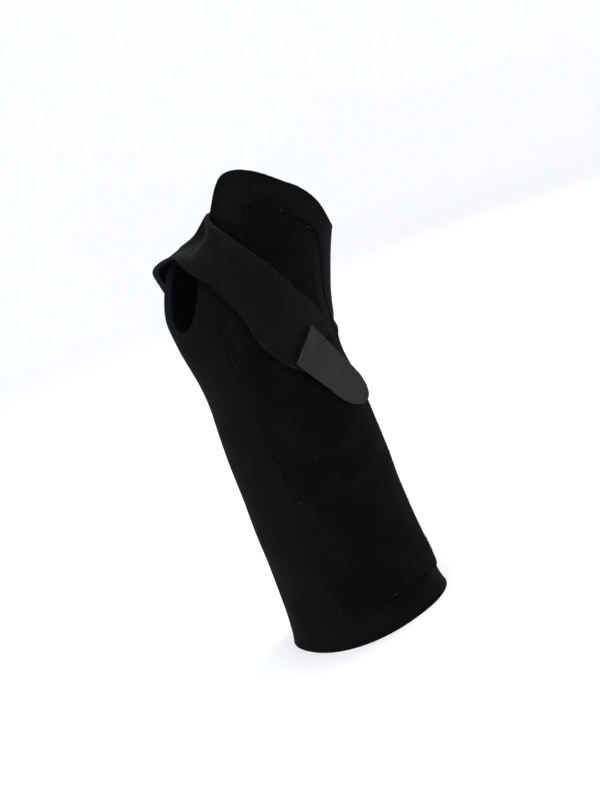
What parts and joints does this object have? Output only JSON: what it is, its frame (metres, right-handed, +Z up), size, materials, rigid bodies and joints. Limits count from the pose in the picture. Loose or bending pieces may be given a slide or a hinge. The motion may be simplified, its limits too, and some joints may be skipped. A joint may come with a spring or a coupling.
{
  "type": "wrist splint",
  "caption": "Slip-on neoprene wrist splint for a right hand, with a thumb notch, a dorsal loop panel, covered stays and a diagonal hook-and-loop strap.",
  "frame": {"origin": "middle of the splint's plan, at the level of its forearm rim, on which it stands", "axes": "+Z up the forearm towards the hand, -Y the back of the hand, -X the thumb side, +X the little-finger side"},
  "size_m": [0.096, 0.0811, 0.2357],
  "materials": {
    "jersey": "knit",
    "loop_fabric": "brushed loop",
    "pocket_jersey": "knit",
    "strap": "textured neoprene",
    "tab": "brushed",
    "hook": "hook tape",
    "thread": "thread",
    "stay_plastic": "smooth",
    "stay_aluminium": "satin",
    "stay_caps": "dipped"
  },
  "bodies": {
    "sleeve": {"sleeve": "jersey", "seam_thread": "thread", "dorsal_loop_panel": "loop_fabric", "loop_panel_stitch": "thread", "dorsal_stay": "stay_plastic", "palmar_pocket": "pocket_jersey", "palmar_stay": "stay_aluminium", "palmar_stay_cap_forearm": "stay_caps", "palmar_stay_cap_hand": "stay_caps", "strap_palm_end": "strap", "strap_anchor_stitch": "thread"},
    "strap": {"strap": "strap", "tab_root": "tab"},
    "tab": {"hook_tab": "tab", "hook_tape": "hook"}
  },
  "joints": [
    {"name": "strap_swing", "type": "hinge", "parent": "sleeve", "child": "strap", "pos_m": [-0.02707, -0.00972, 0.21404], "axis": [-0.8222, 0.2019, -0.5322], "range_deg": [0, 100]},
    {"name": "tab_peel", "type": "hinge", "parent": "strap", "child": "tab", "pos_m": [-0.00578, -0.04031, 0.13988], "axis": [-0.7945, 0.0142, -0.6071], "range_deg": [0, 75]}
  ]
}
